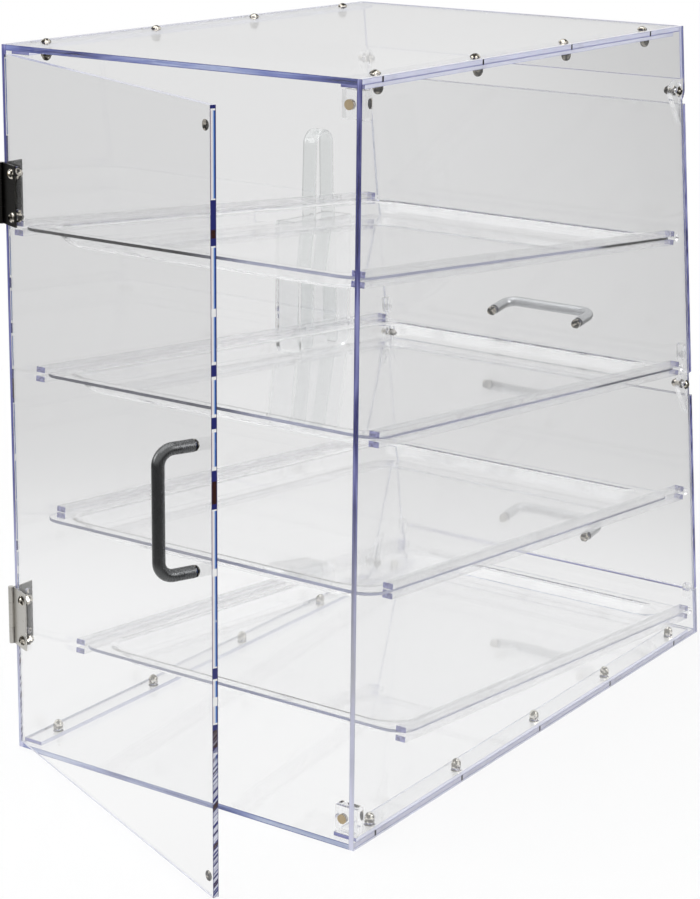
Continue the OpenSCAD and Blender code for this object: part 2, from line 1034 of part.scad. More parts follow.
front_ears(pivot_2, lower_top);  // lower_door_ears
front_handle(lower_low);  // lower_door_handle
front_handle_nuts(lower_low);  // lower_handle_cap_nuts
tray(1, 0);  // tray_1
tray(2, 0);  // tray_2
tray(3, tray_3_back);  // tray_3
tray(4, 0);  // tray_4
tongs();
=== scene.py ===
import math

import bmesh
import bpy
import numpy as np
from mathutils import Matrix, Vector


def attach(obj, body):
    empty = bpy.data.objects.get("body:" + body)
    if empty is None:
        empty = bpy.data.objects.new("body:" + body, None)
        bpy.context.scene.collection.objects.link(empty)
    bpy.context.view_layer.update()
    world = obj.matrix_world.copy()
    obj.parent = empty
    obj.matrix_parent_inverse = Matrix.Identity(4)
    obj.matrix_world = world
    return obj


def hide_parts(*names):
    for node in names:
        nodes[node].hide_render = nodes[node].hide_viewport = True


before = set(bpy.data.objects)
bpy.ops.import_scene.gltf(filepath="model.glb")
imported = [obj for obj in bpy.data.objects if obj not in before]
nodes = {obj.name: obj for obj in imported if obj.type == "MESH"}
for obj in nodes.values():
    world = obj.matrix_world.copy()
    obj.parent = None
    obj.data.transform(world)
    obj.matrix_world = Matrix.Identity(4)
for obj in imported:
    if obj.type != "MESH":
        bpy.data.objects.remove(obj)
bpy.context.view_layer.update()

# Looks for the countertop bread display bin: clear sheet case, four trays, three doors, tongs.
print("frame loaded:", len(nodes), "nodes")

# the bin in millimetres, and in degrees how its trays tilt and how far its rear door is open
binSizes = {"depth": 603.5, "topDepth": 513, "height": 609.6, "tilt": 5.1, "open": 23}
perMetre = 1000
lean = math.atan((binSizes["depth"] - binSizes["topDepth"]) / binSizes["height"])
slope = math.radians(binSizes["tilt"])
swing = math.radians(binSizes["open"])
sideWay, rearWay, upWay = (1, 0, 0), (0, 1, 0), (0, 0, 1)
leanAxis = (0, -math.cos(lean), math.sin(lean))
doorAxis = (math.sin(swing), math.cos(swing), 0)
doorWay = (math.cos(swing), -math.sin(swing), 0)
trayAxis = (0, -math.sin(slope), math.cos(slope))
railWay = (0, math.cos(slope), math.sin(slope))


class Wire:
    # a shader socket that can be added, taken away, multiplied, divided and made positive
    def __init__(self, tree, socket):
        self.tree, self.socket = tree, socket

    def maths(self, operation, *values):
        return self.tree.add("ShaderNodeMath", {"operation": operation}, values)

    def __add__(self, other):
        return self.maths("ADD", self, other)

    def __radd__(self, other):
        return self.maths("ADD", other, self)

    def __sub__(self, other):
        return self.maths("SUBTRACT", self, other)

    def __rsub__(self, other):
        return self.maths("SUBTRACT", other, self)

    def __mul__(self, other):
        return self.maths("MULTIPLY", self, other)

    def __rmul__(self, other):
        return self.maths("MULTIPLY", other, self)

    def __truediv__(self, other):
        return self.maths("DIVIDE", self, other)

    def __rtruediv__(self, other):
        return self.maths("DIVIDE", other, self)

    def __abs__(self):
        return self.maths("ABSOLUTE", self)


class Shader:
    # adds nodes to one node tree; settings go in before the sockets
    def __init__(self, tree):
        self.tree = tree
        self.tree.nodes.clear()

    def add(self, kind, settings=None, inputs=(), out=0):
        node = self.tree.nodes.new(kind)
        for name, value in (settings or {}).items():
            if name == "stops":
                ramp = node.color_ramp.elements
                for index, (place, colour) in enumerate(value):
                    stop = ramp[index] if index < 2 else ramp.new(place)
                    stop.position = place
                    stop.color = (*colour, 1)
            else:
                setattr(node, name, value)
        pairs = inputs.items() if isinstance(inputs, dict) else enumerate(inputs)
        for key, value in pairs:
            if isinstance(value, Wire):
                self.tree.links.new(value.socket, node.inputs[key])
            else:
                node.inputs[key].default_value = value
        return Wire(self, node.outputs[out])

    def place(self):
        return self.add("ShaderNodeTexCoord", out="Object")

    def part(self, letter):
        # one coordinate of the place
        return self.add("ShaderNodeSeparateXYZ", {}, [self.place()], out=letter)

    def vector(self, operation, *values):
        return self.add("ShaderNodeVectorMath", {"operation": operation}, values, out="Value")

    def facing(self, axis):
        # how squarely a face looks along one axis of its piece, from 0 to 1
        way = self.add("ShaderNodeTexCoord", out="Normal")
        return abs(self.vector("DOT_PRODUCT", way, axis))

    def stretched(self, scale):
        # object coordinates squeezed along each axis by its own factor
        return self.add("ShaderNodeVectorMath", {"operation": "MULTIPLY"}, [self.place(), scale])

    def noise(self, vector, scale, detail, rough):
        return self.add("ShaderNodeTexNoise", {"noise_dimensions": "3D"},
                        {"Vector": vector, "Scale": scale, "Detail": detail, "Roughness": rough})

    def ramp(self, factor, stops):
        return self.add("ShaderNodeValToRGB", {"stops": stops}, [factor])

    def mixed(self, factor, first, second):
        return self.add("ShaderNodeMix", {"data_type": "RGBA"},
                        {0: factor, 6: first, 7: second}, out=2)

    def bump(self, height, strength, distance):
        return self.add("ShaderNodeBump", {},
                        {"Height": height, "Strength": strength, "Distance": distance})

    def span(self, value, low, high):
        # rises smoothly from 0 at low to 1 at high
        return self.add("ShaderNodeMapRange", {"interpolation_type": "SMOOTHSTEP"},
                        {"Value": value, "From Min": low, "From Max": high})

    def ray(self, kind):
        return self.add("ShaderNodeLightPath", out=f"Is {kind} Ray")

    def surface(self, values):
        return self.add("ShaderNodeBsdfPrincipled", {}, values)

    def layered(self, share, under, over):
        return self.add("ShaderNodeMixShader", {}, [share, under, over])

    def film(self, colour):
        return self.add("ShaderNodeBsdfTransparent", {}, {"Color": solid(colour)})

    def finish(self, surface, kind="ShaderNodeOutputMaterial"):
        node = self.tree.nodes.new(kind)
        self.tree.links.new(surface.socket, node.inputs["Surface"])

    def finishClear(self, body, shadow):
        # the lamps' light passes a clear body as it would a film of the shadow's tone
        through = self.film(shadow)
        self.finish(self.layered(self.ray("Shadow"), body, through))


def newShader(name):
    material = bpy.data.materials.new(name)
    material.use_nodes = True
    return material, Shader(material.node_tree)


def rgb(red, green, blue):
    # screen levels from 0 to 255, as linear light
    def one(level):
        level = level / 255
        return level / 12.92 if level <= 0.04045 else ((level + 0.055) / 1.055) ** 2.4
    return tuple(one(level) for level in (red, green, blue))


def solid(colour):
    return (*colour, 1)


def grey(tone):
    return (tone,) * 3


def greys(stops):
    return [(place, grey(tone)) for place, tone in stops]


def tonesAt(look, places, names):
    return [(place, look[name]) for place, name in zip(places, names)]


# camera, solved from the corners, bolt rows and rail ends of the photograph; place in metres,
# angles in degrees, focal length and middle in pixels of the frame
eye = {"place": (-1.1280, 1.6905, 0.8181), "azimuth": 213.54, "elevation": 13.83,
       "roll": 0.869, "focal": 2318.3, "middle": (393.2, 355.1), "frame": (700, 899),
       "sensor": 36, "far": 200}


def setCamera(view):
    turn, rise, roll = (math.radians(view[key]) for key in ("azimuth", "elevation", "roll"))
    back = Vector((math.sin(turn) * math.cos(rise), -math.cos(turn) * math.cos(rise),
                   math.sin(rise)))
    side = Vector((0, 0, 1)).cross(back).normalized()
    up = back.cross(side)
    across = side * math.cos(roll) + up * math.sin(roll)
    above = up * math.cos(roll) - side * math.sin(roll)
    wide, high = view["frame"]
    data = bpy.data.cameras.new("camera")
    data.sensor_width = view["sensor"]
    data.lens = view["focal"] * view["sensor"] / high
    data.shift_x = (wide / 2 - view["middle"][0]) / high
    data.shift_y = (view["middle"][1] - high / 2) / high
    data.clip_end = view["far"]
    camera = bpy.data.objects.new("camera", data)
    bpy.context.scene.collection.objects.link(camera)
    turned = Matrix((across, above, back)).transposed().to_4x4()
    camera.matrix_world = Matrix.Translation(view["place"]) @ turned
    bpy.context.scene.camera = camera


setCamera(eye)
print("camera placed")

# floor and sky: what glass shows of them, and what gloss shows; the camera itself sees white.
# A reach is a pair of distances in metres between which a tone changes.
studio = {"floorLift": -0.0006, "floorSize": 60.0, "floorTone": 0.9, "floorGlow": 0.76,
          "glowReach": (0.5, 1.3), "plain": 0.55, "white": 1.0,
          "glassNear": 0.98, "glassFar": 0.82, "glassReach": (0.234, 0.854),
          "brightSpot": (0.1075, 0.0713, 0),
          "glossNear": 0.95, "glossFar": 0.2, "glossReach": (0.45, 1.3),
          "fadeWay": (-0.8335, -0.5525, 0), "fadeReach": (0.0, 1.0), "fadeTone": 0.84,
          "glassSky": [(0.0, 0.845), (0.6, 1.0)],
          "glossSky": [(0.0, 0.6), (0.2, 0.96), (1.0, 1.0)]}
lamps = {  # place, size, power, whether it shows through glass
    "topLamp": ((0.3, 0.6, 3.2), (3.4, 3.4), 52, True),
    "leftLamp": ((2.6, 2.4, 1.9), (1.4, 2.0), 34, False),
    "rightLamp": ((-2.9, -0.4, 1.7), (1.2, 1.8), 24, True)}
lampAim = (0, 0, 0.25)
bounces = {"max_bounces": 40, "transmission_bounces": 36, "glossy_bounces": 16,
           "transparent_max_bounces": 32}


def buildWorld(look):
    world = bpy.data.worlds.new("studio")
    world.use_nodes = True
    bpy.context.scene.world = world
    shader = Shader(world.node_tree)
    height = shader.add("ShaderNodeSeparateXYZ", {},
                        [shader.add("ShaderNodeTexCoord", out="Generated")], out="Z")
    tone = shader.mixed(shader.ray("Glossy"), solid(grey(look["plain"])),
                        shader.ramp(height, greys(look["glossSky"])))
    tone = shader.mixed(shader.ray("Transmission"), tone,
                        shader.ramp(height, greys(look["glassSky"])))
    tone = shader.mixed(shader.ray("Camera"), tone, solid(grey(look["white"])))
    shader.finish(shader.add("ShaderNodeBackground", {}, {"Color": tone, "Strength": 1.0}),
                  "ShaderNodeOutputWorld")


def buildFloor(look):
    # one flat square; where glass or gloss shows it, it carries a painted pool of light round
    # brightSpot that fades with distance, and where glass shows it, painted shade towards fadeWay
    half, z = look["floorSize"], look["floorLift"]
    mesh = bpy.data.meshes.new("floor")
    mesh.from_pydata([(-half, -half, z), (half, -half, z), (half, half, z), (-half, half, z)],
                     [], [(0, 1, 2, 3)])
    floor = bpy.data.objects.new("floor", mesh)
    bpy.context.scene.collection.objects.link(floor)
    material, shader = newShader("paleFloor")
    camera, gloss, glass = (shader.ray(kind) for kind in ("Camera", "Glossy", "Transmission"))
    # painted pool of light round brightSpot, and for glass painted shade towards fadeWay
    far = shader.vector("DISTANCE", shader.place(), look["brightSpot"])
    aside = shader.vector("DOT_PRODUCT", shader.place(), look["fadeWay"])
    faded = look["glassFar"] * look["fadeTone"]
    fade = shader.ramp(shader.span(aside, *look["fadeReach"]),
                       greys([(0.0, look["glassFar"]), (1.0, faded)]))
    seen = shader.mixed(shader.span(far, *look["glassReach"]),
                        solid(grey(look["glassNear"])), fade)
    shine = shader.ramp(shader.span(far, *look["glossReach"]),
                        greys([(0.0, look["glossNear"]), (1.0, look["glossFar"])]))
    tone = shader.mixed(glass, shine, seen)
    tone = shader.mixed(camera, tone, solid(grey(look["white"])))
    glow = shader.add("ShaderNodeEmission", {}, {"Color": tone, "Strength": 1.0})
    base = shader.add("ShaderNodeBsdfDiffuse", {}, {"Color": solid(grey(look["floorTone"]))})
    span = shader.vector("LENGTH", shader.place())
    own = shader.span(span, *look["glowReach"]) * (1 - look["floorGlow"]) + look["floorGlow"]
    shader.finish(shader.layered(camera * own + gloss + glass, base, glow))
    mesh.materials.append(material)


def addLamp(name, place, size, power, throughGlass):
    data = bpy.data.lights.new(name, "AREA")
    data.shape, data.size, data.size_y, data.energy = "RECTANGLE", *size, power
    lamp = bpy.data.objects.new(name, data)
    lamp.location = place
    lamp.visible_transmission = throughGlass
    lamp.rotation_euler = (Vector(lampAim) - Vector(place)).to_track_quat("-Z", "Y").to_euler()
    bpy.context.scene.collection.objects.link(lamp)


buildWorld(studio)
buildFloor(studio)
for name, settings in lamps.items():
    addLamp(name, *settings)
bpy.context.scene.view_settings.view_transform = "Standard"
for name, count in bounces.items():
    setattr(bpy.context.scene.cycles, name, count)
print("studio ready")

# clear sheet: what the broad faces let through, and the tones of the polished edges. A noise is
# its scale, detail and roughness; a turn is how squarely a face looks where its tone starts and
# where it is full
clear = {"face": (0.95, 0.951, 0.954), "core": rgb(132, 134, 192), "pale": rgb(176, 180, 224),
         "border": rgb(62, 62, 122), "dark": rgb(24, 24, 66), "seam": rgb(228, 230, 245),
         "seamBorder": rgb(170, 174, 212), "ior": 1.49, "smear": 0.012, "solid": 0.84,
         "seamSolid": 0.72, "edgeTurn": (0.55, 0.65), "mainTurn": (0.45, 0.6),
         "squeeze": (260, 9), "streak": (1.0, 3.0, 0.6), "drift": (11.0, 2.0, 0.5),
         "streakShare": 0.5, "streakStops": (0.36, 0.43, 0.5, 0.6), "borderReach": (0.62, 0.95),
         "seamReach": (0.5, 1.0), "paintedLightShare": 0.6, "boltReach": (0.0007, 0.0016),
         "boltShift": 20.5, "haze": (9.0, 4.0, 0.6), "rimRough": 0.12,
         "shadow": (0.93, 0.93, 0.94)}
# each sheet's axis through its thickness, and the way its tinted edges face
sheetAxes = {
    "side_wall_left": (sideWay, rearWay), "side_wall_right": (sideWay, rearWay),
    "top_panel": (upWay, rearWay), "bottom_panel": (upWay, rearWay),
    "top_flange_left": (upWay, rearWay), "top_flange_right": (upWay, rearWay),
    "bottom_flange_left": (upWay, rearWay), "bottom_flange_right": (upWay, rearWay),
    "header_strip": (leanAxis, upWay), "kick_strip": (leanAxis, upWay),
    "upper_door_panel": (leanAxis, sideWay), "lower_door_panel": (leanAxis, sideWay),
    "rear_door_panel": (doorAxis, doorWay)}
# what differs from the clear sheet's tones; bolts are the first bolt's place and the pitch along
# the sheet, paleFoot and rearOnly are reaches in metres; over paleFoot an edge's
# tint pales towards the floor, painted light
flapTones = {"seam": rgb(240, 241, 248), "seamBorder": rgb(206, 209, 230), "seamSolid": 0.45}
sheetTones = {
    # the rear door's free edge: its bands, dark blocks, white dashes and marks are painted
    # refraction and reflection
    "rear_door_panel": {
        "border": rgb(70, 66, 110), "dark": rgb(34, 38, 108), "solid": 0.93,
        "brown": rgb(52, 20, 16), "pale": rgb(226, 228, 240), "white": grey(0.9),
        "bands": [(0.0, rgb(10, 10, 48)), (0.15, rgb(16, 36, 122)), (0.33, rgb(62, 120, 200)),
                  (0.5, rgb(206, 216, 232)), (0.68, rgb(244, 240, 240)),
                  (1.0, rgb(200, 174, 172))],
        "blocks": 26.0, "blockNoise": (1.0, 1.0, 0.5), "blueFrom": (0.53, 0.535),
        "brownFrom": (0.60, 0.605), "dashAt": 0.53, "dashReach": (0.006, 0.008),
        "marks": 130.0, "slant": 0.3, "markNoise": (1.0, 2.0, 0.6),
        "markStops": (0.40, 0.46, 0.52, 0.60), "markReach": (0.15, 0.10)},
    "side_wall_left": {"paleFoot": (0.12, 0.32), "seam": rgb(240, 241, 248),
                       "seamBorder": rgb(196, 199, 222)},
    "side_wall_right": {"rearOnly": (0.25, 0.28), "dark": rgb(88, 90, 150),
                        "border": rgb(92, 94, 156), "paleFoot": (0.08, 0.28)},
    "top_panel": {"core": rgb(122, 134, 196), "pale": rgb(178, 190, 228),
                  "border": rgb(78, 84, 146), "dark": rgb(36, 38, 78),
                  "seam": rgb(236, 237, 247), "seamBorder": rgb(156, 160, 204),
                  "bolts": (-0.15125, 0.141), "bolt": rgb(40, 38, 44)},
    "bottom_panel": {"core": rgb(146, 156, 198), "pale": rgb(192, 201, 224),
                     "border": rgb(102, 112, 160), "dark": rgb(70, 76, 120),
                     "seam": rgb(240, 240, 248), "seamBorder": rgb(196, 199, 222),
                     "bolts": (-0.25375, 0.1305), "bolt": rgb(60, 58, 62)},
    "header_strip": {"core": rgb(96, 98, 160), "pale": rgb(130, 134, 190),
                     "border": rgb(60, 62, 120), "dark": rgb(40, 42, 90), "solid": 0.95},
    "upper_door_panel": flapTones, "lower_door_panel": flapTones}


def spotsOf(mesh):
    # the mesh's points, one row each
    spots = np.empty(len(mesh.vertices) * 3)
    mesh.vertices.foreach_get("co", spots)
    return spots.reshape(-1, 3)


def across(node, axis):
    # middle and half thickness of a node's sheet along its axis
    along = spotsOf(nodes[node].data) @ np.array(axis)
    return (along.min() + along.max()) / 2, (along.max() - along.min()) / 2


def paintedFreeEdge(shader, side, look):
    # the door's free edge, painted refraction and reflection: bands from face to face, broken
    # along the height by dark blocks and painted white highlights in dashes, with slanted dark
    # marks near the floor; side runs from -1 to 1
    high = shader.part("Z")
    parts = shader.noise(shader.stretched((0, 0, look["blocks"])), *look["blockNoise"])
    slanting = shader.add("ShaderNodeCombineXYZ", {},
                          [high * look["marks"] + side * look["slant"]])
    marks = shader.noise(slanting, *look["markNoise"])
    tone = shader.ramp(side * 0.5 + 0.5, look["bands"])
    tone = shader.mixed(shader.span(parts, *look["blueFrom"]), tone, solid(look["dark"]))
    tone = shader.mixed(shader.span(parts, *look["brownFrom"]), tone, solid(look["brown"]))
    # painted white highlights: thin dashes where the block noise passes dashAt
    off = abs(parts - look["dashAt"])
    tone = shader.mixed(shader.span(off, *look["dashReach"]), solid(look["white"]), tone)
    slanted = shader.ramp(marks, tonesAt(look, look["markStops"],
                                         ("brown", "dark", "pale", "dark")))
    return shader.mixed(shader.span(high, *look["markReach"]), tone, slanted)


def clearSheet(node, axis, main, tones):
    # clear through the broad faces; edges that face along main are tinted, darker at their two
    # borders, with streaks along them, and the other edges are pale seams
    look = {**clear, **tones}
    material, shader = newShader("sheet_" + node)
    edge = 1 - shader.span(shader.facing(axis), *look["edgeTurn"])
    strong = shader.span(shader.facing(main), *look["mainTurn"])
    if "rearOnly" in look:
        strong = strong * shader.span(shader.part("Y"), *look["rearOnly"])
    middle, half = across(node, axis)
    side = (shader.vector("DOT_PRODUCT", shader.place(), axis) - middle) / half
    off = abs(side)
    if "bands" in look:
        core = paintedFreeEdge(shader, side, look)
    else:
        close, wide = look["squeeze"]
        thin = tuple(close * abs(part) + wide for part in axis)
        streak = shader.noise(shader.stretched(thin), *look["streak"])
        drift = shader.noise(shader.place(), *look["drift"])
        share = look["streakShare"]
        core = shader.ramp(streak * share + drift * (1 - share),
                           tonesAt(look, look["streakStops"], ("dark", "border", "core", "pale")))
    tint = shader.mixed(shader.span(off, *look["borderReach"]), core, solid(look["border"]))
    # painted light: towards the floor the edge's tint pales to the seam tone
    if "paleFoot" in look:
        litFoot = 1 - shader.span(shader.part("Z"), *look["paleFoot"])
        tint = shader.mixed(litFoot * look["paintedLightShare"], tint, solid(look["seam"]))
    seam = shader.mixed(shader.span(off, *look["seamReach"]), solid(look["seam"]),
                        solid(look["seamBorder"]))
    if "bolts" in look:
        # whole steps keep the count above 0, and half a step centres each mark on its bolt
        first, pitch = look["bolts"]
        steps = (shader.part("Y") - first) / pitch + look["boltShift"]
        past = shader.add("ShaderNodeMath", {"operation": "FRACT"}, [steps])
        near = abs((past - 0.5) * pitch)
        seam = shader.mixed(shader.span(near, *look["boltReach"]), solid(look["bolt"]), seam)
    haze = shader.noise(shader.place(), *look["haze"]) * look["smear"]
    glass = shader.surface({"Base Color": solid(look["face"]), "Roughness": haze,
                            "IOR": look["ior"], "Transmission Weight": 1.0})
    rim = shader.surface({"Base Color": shader.mixed(strong, seam, tint),
                          "Roughness": look["rimRough"], "IOR": look["ior"]})
    share = edge * (strong * (look["solid"] - look["seamSolid"]) + look["seamSolid"])
    shader.finishClear(shader.layered(share, glass, rim), look["shadow"])
    return material


# formed clear plastic in blocks, tongs and bumpers
moulded = {"ior": 1.49, "ripple": (2.0, 0.5), "bumpHeight": 0.002, "haze": (14.0, 3.0, 0.6),
           "hazeDepth": 0.03, "shadow": grey(0.93)}


def clearMoulded(name, tint, rough, wave, scale, look=moulded):
    # a faint ripple of its own strength and scale, and a little haze
    material, shader = newShader(name)
    ripple = shader.noise(shader.place(), scale, *look["ripple"])
    haze = shader.noise(shader.place(), *look["haze"]) * look["hazeDepth"] + rough
    glass = shader.surface({
        "Base Color": solid(tint), "Roughness": haze, "IOR": look["ior"],
        "Transmission Weight": 1.0, "Normal": shader.bump(ripple, wave, look["bumpHeight"])})
    shader.finishClear(glass, look["shadow"])
    return material


# plated and satin metal
plating = {"grain": (3.0, 0.6), "reflectionPatch": (2.0, 0.5), "reflectionReach": (0.45, 0.57),
           "cloud": (60.0, 3.0, 0.6), "grainShare": 0.6, "roughSpread": 0.16,
           "bump": (0.12, 0.0002)}


def metal(name, colour, shade, rough, grain, scale, reflectionPatch, look=plating):
    # tone and roughness vary with a fine grain; reflectionPatch is the scale of the painted dark
    # and light reflections on a polished one
    material, shader = newShader(name)
    fine = shader.noise(shader.stretched(grain), scale, *look["grain"])
    # a polished one: dark and light patches of painted reflection
    if reflectionPatch:
        cloud = shader.noise(shader.place(), reflectionPatch, *look["reflectionPatch"])
        share = shader.span(cloud, *look["reflectionReach"])
    else:
        cloud = shader.noise(shader.place(), *look["cloud"])
        share = fine * look["grainShare"] + cloud * (1 - look["grainShare"])
    spread = look["roughSpread"]
    shader.finish(shader.surface({
        "Base Color": shader.mixed(share, solid(shade), solid(colour)), "Metallic": 1.0,
        "Roughness": fine * spread + (rough - spread / 2),
        "Normal": shader.bump(fine, *look["bump"])}))
    return material


# trays: how much painted shade each one's rim edge shows, where it does, in metres, and the clear
# floor
trayFinish = {"dark": {"tray_1": 1.0, "tray_2": 0.8, "tray_3": 0.45, "tray_4": 0.2},
              "edgeTurn": (0.55, 0.65), "sideTurn": (0.3, 0.6), "mottle": (16.0, 2.0, 0.5),
              "mottleDepth": 0.05, "behindX": (-0.06, 0.02), "behindY": (0.18, 0.20),
              "besideX": (0.10, 0.12), "besideY": (0.08, 0.12), "pale": rgb(188, 191, 214),
              "rimShadeTone": (0.002, 0.002, 0.004), "face": (0.98, 0.982, 0.984), "ior": 1.49,
              "ripple": (20.0, 2.0, 0.5), "bump": (0.004, 0.002), "haze": (14.0, 3.0, 0.6),
              "hazeDepth": 0.03, "rough": 0.012, "coat": 0.6, "coatRough": 0.16,
              "rimRough": 0.1, "rimGloss": 0.05, "solid": 0.68, "darkSolid": 0.3,
              "shadow": grey(0.95)}


def clearTray(node, look=trayFinish):
    # formed clear plastic; painted shade makes the rim's outer edge nearly black at the rear
    # towards the hinges and along the wall towards the customer side, and it is pale elsewhere
    material, shader = newShader("clear_" + node)
    dark = look["dark"][node]
    edge = 1 - shader.span(shader.facing(trayAxis), *look["edgeTurn"])
    aside, rear = shader.part("X"), shader.part("Y")
    mottle = shader.noise(shader.place(), *look["mottle"]) * look["mottleDepth"]
    # painted shade on the rim edge: along the rear and along the side towards the customer
    behind = (shader.span(aside + mottle, *look["behindX"]) * shader.span(rear, *look["behindY"])
              * shader.span(shader.facing(rearWay), *look["sideTurn"]))
    beside = (shader.span(mottle - rear, *look["besideY"])
              * shader.span(0 - aside, *look["besideX"])
              * shader.span(shader.facing(sideWay), *look["sideTurn"]))
    depth = behind + beside
    tone = shader.mixed(depth * dark, solid(look["pale"]), solid(look["rimShadeTone"]))
    ripple = shader.noise(shader.place(), *look["ripple"])
    haze = shader.noise(shader.place(), *look["haze"]) * look["hazeDepth"] + look["rough"]
    glass = shader.surface({
        "Base Color": solid(look["face"]), "Roughness": haze, "IOR": look["ior"],
        "Transmission Weight": 1.0, "Coat Weight": look["coat"],
        "Coat Roughness": look["coatRough"], "Normal": shader.bump(ripple, *look["bump"])})
    rim = shader.surface({"Base Color": tone, "Roughness": look["rimRough"], "IOR": look["ior"],
                          "Specular IOR Level": look["rimGloss"]})
    share = edge * (depth * (dark * look["darkSolid"]) + look["solid"])
    shader.finishClear(shader.layered(share, glass, rim), look["shadow"])
    return material


railFinish = {"endTurn": (0.55, 0.65), "rough": 0.01, "mottle": (500.0, 2.0, 0.5),
              "mottleStops": (0.4, 0.6), "rimRough": 0.2, "clearer": (0.985, 0.985, 0.988),
              "clearShare": 0.6, "endSolid": 0.85, "shadow": grey(0.95)}


def clearRail(name, look=railFinish):
    # a rail strip: clear along its length, tinted at its sawn ends
    material, shader = newShader(name)
    end = shader.span(shader.facing(railWay), *look["endTurn"])
    glass = shader.surface({"Base Color": solid(clear["face"]), "Roughness": look["rough"],
                            "IOR": clear["ior"], "Transmission Weight": 1.0})
    mottle = shader.noise(shader.place(), *look["mottle"])
    tone = shader.ramp(mottle, tonesAt(clear, look["mottleStops"], ("border", "core")))
    rim = shader.surface({"Base Color": tone, "Roughness": look["rimRough"],
                          "IOR": clear["ior"]})
    soft = shader.layered(look["clearShare"], glass, shader.film(look["clearer"]))
    body = shader.layered(end * look["endSolid"], soft, rim)
    shader.finishClear(body, look["shadow"])
    return material


# how a grain is squeezed along x, y and z: not at all, into flat, sideways and upright streaks
even, flat, sideways, upright = (1, 1, 1), (1, 1, 9), (1, 9, 9), (9, 9, 1)
clears = {  # name, tint, roughness, ripple's strength and scale
    "block": ("clearBlock", (0.965, 0.968, 0.972), 0.0, 0.02, 60.0),
    "tong": ("clearTong", (0.86, 0.88, 0.875), 0.0, 0.03, 40.0),
    "soft": ("clearBumper", (0.9, 0.9, 0.9), 0.12, 0.1, 200.0)}
metals = {  # name, light tone, dark tone, roughness, grain's stretch and scale, patch scale
    # the light and dark tones of the patched ones are painted reflections
    "bright": ("brightSteel", (0.80, 0.77, 0.71), (0.16, 0.15, 0.12), 0.14, even, 180.0, 330.0),
    "polished": ("polishedNickel", (0.62, 0.58, 0.51), (0.02, 0.017, 0.013), 0.10, even, 180.0,
                 300.0),
    # a darker copy of polishedNickel for the top cap nuts: painted shade
    "shaded": ("nickelPaintedShade", (0.30, 0.28, 0.24), (0.012, 0.010, 0.008), 0.10, even, 180.0,
               300.0),
    "magnet": ("magnetFace", (0.52, 0.42, 0.28), (0.36, 0.28, 0.17), 0.30, even, 240.0, None),
    "nickel": ("satinNickel", (0.60, 0.585, 0.55), (0.42, 0.41, 0.38), 0.30, flat, 90.0, None),
    # a darker copy of satinNickel for the upper hinge's leaves: painted shade
    "dark": ("satinNickelPaintedShade", (0.05, 0.048, 0.044), (0.022, 0.021, 0.019), 0.30, flat, 90.0, None),
    "grip": ("satinGrip", (0.15, 0.153, 0.155), (0.07, 0.072, 0.074), 0.27, upright, 120.0,
             None),
    "aluminium": ("satinAluminium", (0.56, 0.57, 0.58), (0.42, 0.43, 0.44), 0.34, sideways,
                  120.0, None)}
finishes = {"rail": clearRail("clearRail"),
            **{key: clearMoulded(*values) for key, values in clears.items()},
            **{key: metal(*values) for key, values in metals.items()}}
# which finish a node has: by its name, then by a word in its name, else the clear block
nodeFinish = {"tongs": "tong", "door_bumpers": "soft", "catch_magnets": "magnet",
              "bottom_cap_nuts": "bright", "bottom_screws": "bright", "top_cap_nuts": "shaded",
              "rear_strikers": "polished", "hinge_upper_wall_leaf": "dark",
              "hinge_upper_door_leaf": "dark", "rear_door_handle": "grip"}
wordFinish = {"rails": "rail", "screw": "polished", "cap_nut": "polished", "hinge": "nickel",
              "handle": "aluminium"}


def finishOf(node):
    if node in sheetAxes:
        return clearSheet(node, *sheetAxes[node], sheetTones.get(node, {}))
    if node in trayFinish["dark"]:
        return clearTray(node)
    words = [finish for word, finish in wordFinish.items() if word in node]
    return finishes[nodeFinish.get(node, (words + ["block"])[0])]


for nodeName, item in nodes.items():
    item.data.materials.clear()
    item.data.materials.append(finishOf(nodeName))
print("finishes on", len(nodes), "nodes")


def newPiece(name, mesh, node, body):
    # a finished piece that stands for a node and takes its material
    mesh.materials.append(nodes[node].data.materials[0])
    piece = bpy.data.objects.new(name, mesh)
    bpy.context.scene.collection.objects.link(piece)
    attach(piece, body)
    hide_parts(node)


def ringFaces(rings, count):
    # four-sided faces between each ring of count points and the next
    ring = np.arange(count)
    follow = (ring + 1) % count
    row = (np.arange(rings - 1) * count)[:, None]
    quads = (row + ring, row + count + ring, row + count + follow, row + follow)
    return np.stack(quads, axis=-1).reshape(-1, 4)


def closedMesh(name, spots, faces, merge, fill=False, smooth=False):
    # points closer than merge become one, fill closes open ends, and faces are turned outwards
    mesh = bpy.data.meshes.new(name)
    mesh.from_pydata(spots.tolist(), [], faces.tolist())
    form = bmesh.new()
    form.from_mesh(mesh)
    bmesh.ops.remove_doubles(form, verts=form.verts, dist=merge)
    if fill:
        bmesh.ops.holes_fill(form, edges=form.edges, sides=0)
    bmesh.ops.recalc_face_normals(form, faces=form.faces)
    for face in form.faces:
        face.smooth = smooth
    form.to_mesh(mesh)
    form.free()
    return mesh


# where the sheets' faces lie that carry glued pieces, in metres, and the air kept in each joint,
# so that light passes both of its faces
glue = {"gap": 0.00006, "inside": 0.17224, "outside": 0.177, "ceiling": 0.60484,
        "floor": 0.00476, "merge": 1e-7,
        "pieces": ("catch_blocks", "door_rest_tabs", "tray_stop_pegs")}


def glued(node, low, high, look=glue):
    # the node's points p moved to min(max(p, low), high), so its glued faces stand clear
    form = bmesh.new()
    form.from_mesh(nodes[node].data)
    bmesh.ops.remove_doubles(form, verts=form.verts, dist=look["merge"])
    mesh = bpy.data.meshes.new(node + "_clear")
    form.to_mesh(mesh)
    form.free()
    mesh.vertices.foreach_set("co", np.clip(spotsOf(mesh), low, high).ravel())
    mesh.update()
    newPiece(node + "_clear", mesh, node, "case")


